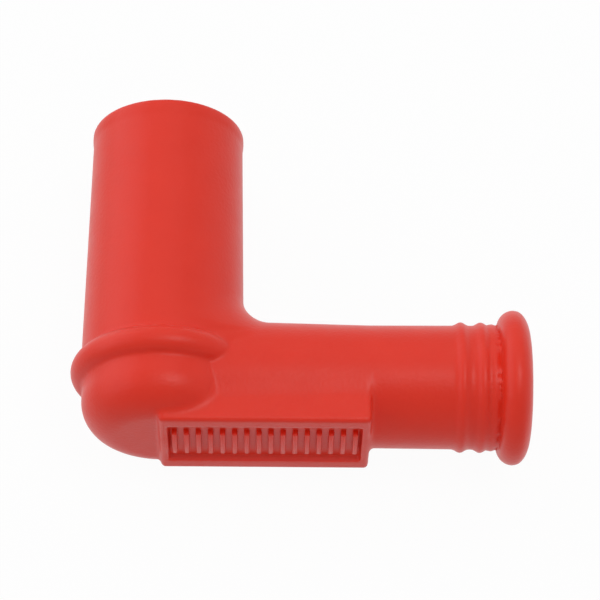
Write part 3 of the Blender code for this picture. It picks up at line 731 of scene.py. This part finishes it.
def boot_distance(x, y, z):
    """Signed distance to the whole moulding, from the point where the bores cross."""
    from_barrel_axis = np.hypot(x, z)
    from_leg_axis = np.hypot(y, z)
    fade = np.clip((y - CROOK_START_Y) / CROOK_FADE, 0, 1)
    crook = SEAM_ROUND + (CROOK_ROUND - SEAM_ROUND) * fade ** 2 * (3 - 2 * fade)
    ring = np.hypot(from_barrel_axis - RING_MIDDLE_RADIUS, y - RING_CENTRE_Y) - RING_SECTION_RADIUS
    plug_side = joined(barrel(y, from_barrel_axis), ring, RING_FOOT_ROUND)
    body = joined(plug_side, leg(x, from_leg_axis), crook)
    block = rounded_box(x, y, z, (BLOCK_START, -BLOCK_FACE_DEPTH, -BLOCK_HALF_THICKNESS),
                        (BLOCK_END, 0, BLOCK_HALF_THICKNESS), BLOCK_EDGE_ROUND)
    body = joined(body, block, BLOCK_BLEND)
    recess = rounded_box(x, y, z, (BLOCK_START + PANEL_MARGIN_X, -2 * BLOCK_FACE_DEPTH, -PANEL_HALF_HEIGHT),
                         (BLOCK_END - PANEL_MARGIN_X, PANEL_DEPTH - BLOCK_FACE_DEPTH, PANEL_HALF_HEIGHT),
                         PANEL_FLOOR_ROUND)
    body = cut(body, recess, PANEL_RIM_ROUND)
    hollow = np.minimum(plug_pocket(y, from_barrel_axis), lead_pocket(x, from_leg_axis))
    return cut(body, hollow, BORE_EDGE_ROUND)


def panel_bars():
    """Row of plain upright bars that fills the panel, flush with its frame."""
    bm = bmesh.new()
    first_x = BLOCK_START + PANEL_MARGIN_X
    pitch = (BLOCK_LENGTH - 2 * PANEL_MARGIN_X) / BAR_COUNT
    size = Vector((BAR_WIDTH, PANEL_DEPTH + BAR_SINK, 2 * BAR_HALF_HEIGHT))
    for bar in range(BAR_COUNT):
        middle = Vector((first_x + (bar + 0.5) * pitch, -BLOCK_FACE_DEPTH + size.y / 2, 0))
        cube = bmesh.ops.create_cube(bm, size=1.0)["verts"]
        for vert in cube:
            vert.co = middle + vert.co * size
        top = [edge for edge in {edge for vert in cube for edge in vert.link_edges}
               if all(vert.co.y < middle.y for vert in edge.verts)]
        upright = [edge for edge in {edge for vert in cube for edge in vert.link_edges}
                   if edge not in top and abs(edge.verts[0].co.y - edge.verts[1].co.y) > size.y / 2]
        bmesh.ops.bevel(bm, geom=top + upright, offset=BAR_EDGE_ROUND, segments=BAR_EDGE_STEPS,
                        profile=0.5, affect="EDGES")
    points = [tuple(vert.co) for vert in bm.verts]
    faces = [[vert.index for vert in face.verts] for face in bm.faces]
    bm.free()
    return place_mesh("panel_bars_tool", points, faces)


boot_points, boot_faces = skin(boot_distance, boot_low - crossing, boot_high - crossing, BOOT_SKIN_STEP)
boot = place_mesh("boot_moulding", boot_points, boot_faces)
apply_boolean(boot, panel_bars(), "UNION")
silicone, nodes, links, shader = new_finish("red_silicone", {
    "Specular IOR Level": 0.4,
    "IOR": 1.43,
    "Subsurface Weight": 0.25,
    "Subsurface Radius": (1.0, 0.25, 0.15),
    "Subsurface Scale": 0.0006,
    "Sheen Weight": 0.05,
    "Sheen Roughness": 0.45,
    "Sheen Tint": (0.85, 0.9, 1.0, 1.0),
})
vary_colour(nodes, links, shader, noise(nodes, links, 260, 4), (0.74, 0.024, 0.006), (0.79, 0.029, 0.009))
vary_roughness(nodes, links, shader, noise(nodes, links, 700, 3), 0.31, 0.43)
bump(nodes, links, shader, noise(nodes, links, 2600, 4), 0.00003)
fitted(boot, silicone, "boot")

# Floor and light
# Seamless white table with white walls all round, under three large soft boxes that hang side by side
# over it and a small one in front. The table looks plain white, and keeps a little of the cap's shadow.
FLOOR_SIZE = 4.0
FLOOR_WHITE = 0.8
FLOOR_GLOW_SHARE = 0.96
WALL_LIGHT = 0.41
LAMP_DISTANCE = 0.5


def seen(nodes, links):
    """1 for what is seen directly, in a mirror or through glass, and 0 for light that falls on things."""
    rays = nodes.new("ShaderNodeLightPath")
    share = rays.outputs["Is Camera Ray"]
    for kind in ("Is Glossy Ray", "Is Transmission Ray"):
        either = nodes.new("ShaderNodeMath")
        either.operation = "MAXIMUM"
        links.new(share, either.inputs[0])
        links.new(rays.outputs[kind], either.inputs[1])
        share = either.outputs[0]
    return share


half = FLOOR_SIZE / 2
floor_corners = [(x, y, cad_box[0][2])
                 for x, y in ((-half, -half), (half, -half), (half, half), (-half, half))]
floor = place_mesh("floor", np.array(floor_corners) - np.array(crossing), [(0, 1, 2, 3)])
table_white = bpy.data.materials.new("table_white")
table_white.use_nodes = True
nodes, links = table_white.node_tree.nodes, table_white.node_tree.links
nodes.remove(nodes["Principled BSDF"])
matte = nodes.new("ShaderNodeBsdfDiffuse")
matte.inputs["Color"].default_value = (FLOOR_WHITE, FLOOR_WHITE, FLOOR_WHITE, 1)
glow = nodes.new("ShaderNodeEmission")
blend = nodes.new("ShaderNodeMixShader")
links.new(scaled(nodes, links, seen(nodes, links), 0.0, FLOOR_GLOW_SHARE), blend.inputs["Fac"])
links.new(matte.outputs["BSDF"], blend.inputs[1])
links.new(glow.outputs["Emission"], blend.inputs[2])
links.new(blend.outputs["Shader"], nodes["Material Output"].inputs["Surface"])
floor.data.materials.append(table_white)

world = bpy.data.worlds.new("white_room")
bpy.context.scene.world = world
world.use_nodes = True
nodes, links = world.node_tree.nodes, world.node_tree.links
links.new(scaled(nodes, links, seen(nodes, links), WALL_LIGHT, 1.0), nodes["Background"].inputs["Strength"])
nodes["Background"].inputs["Color"].default_value = (1, 1, 1, 1)


def hang_softbox(name, lean_deg, tilt_deg, size, power, colour=(1.0, 1.0, 1.0)):
    """Soft box over the table that leans to the side and tilts to the back, and shines on the cap."""
    lamp_data = bpy.data.lights.new(name, "AREA")
    lamp_data.shape = "RECTANGLE"
    lamp_data.size, lamp_data.size_y = size
    lamp_data.energy = power
    lamp_data.color = colour
    lamp = bpy.data.objects.new(name, lamp_data)
    bpy.context.scene.collection.objects.link(lamp)
    hang = (Matrix.Rotation(math.radians(lean_deg), 4, "Y")
            @ Matrix.Rotation(math.radians(-tilt_deg), 4, "X"))
    lamp.matrix_world = hang @ Matrix.Translation((0, 0, LAMP_DISTANCE))


hang_softbox("left_softbox", lean_deg=-60, tilt_deg=16, size=(0.45, 0.85), power=1.15,
             colour=(0.96, 0.98, 1.07))
hang_softbox("top_softbox", lean_deg=0, tilt_deg=16, size=(0.40, 0.85), power=0.58)
hang_softbox("right_softbox", lean_deg=68, tilt_deg=16, size=(0.60, 0.85), power=0.40)
hang_softbox("front_softbox", lean_deg=17, tilt_deg=-6, size=(0.16, 0.16), power=0.38)

# Camera
# Looks down on the cap as it lies, from the side of the lead leg's panel, through a long lens.
PHOTO_SIZE = 600
FOCAL_LENGTH_PX = 2752.2
CROSSING_PX = (161.95, 385.18)
METRES_PER_PX = 0.0001143
AZIMUTH = -0.0298
ELEVATION = 1.0791
ROLL = 0.0347
SENSOR_MM = 36
sideways = Vector((math.cos(AZIMUTH), math.sin(AZIMUTH), 0))
backwards = Vector((math.sin(AZIMUTH) * math.cos(ELEVATION), -math.cos(AZIMUTH) * math.cos(ELEVATION),
                    math.sin(ELEVATION)))
upwards = backwards.cross(sideways)
turn = Matrix((math.cos(ROLL) * sideways + math.sin(ROLL) * upwards,
               -math.sin(ROLL) * sideways + math.cos(ROLL) * upwards, backwards)).transposed()
in_view = METRES_PER_PX * Vector((CROSSING_PX[0] - PHOTO_SIZE / 2, PHOTO_SIZE / 2 - CROSSING_PX[1],
                                  -FOCAL_LENGTH_PX))
camera_data = bpy.data.cameras.new("camera")
camera_data.sensor_width = SENSOR_MM
camera_data.lens = FOCAL_LENGTH_PX / PHOTO_SIZE * SENSOR_MM
camera_data.clip_start = 0.01
camera = bpy.data.objects.new("camera", camera_data)
bpy.context.scene.collection.objects.link(camera)
camera.matrix_world = Matrix.Translation(crossing - turn @ in_view) @ turn.to_4x4()
bpy.context.scene.camera = camera
bpy.context.scene.view_settings.view_transform = "Standard"
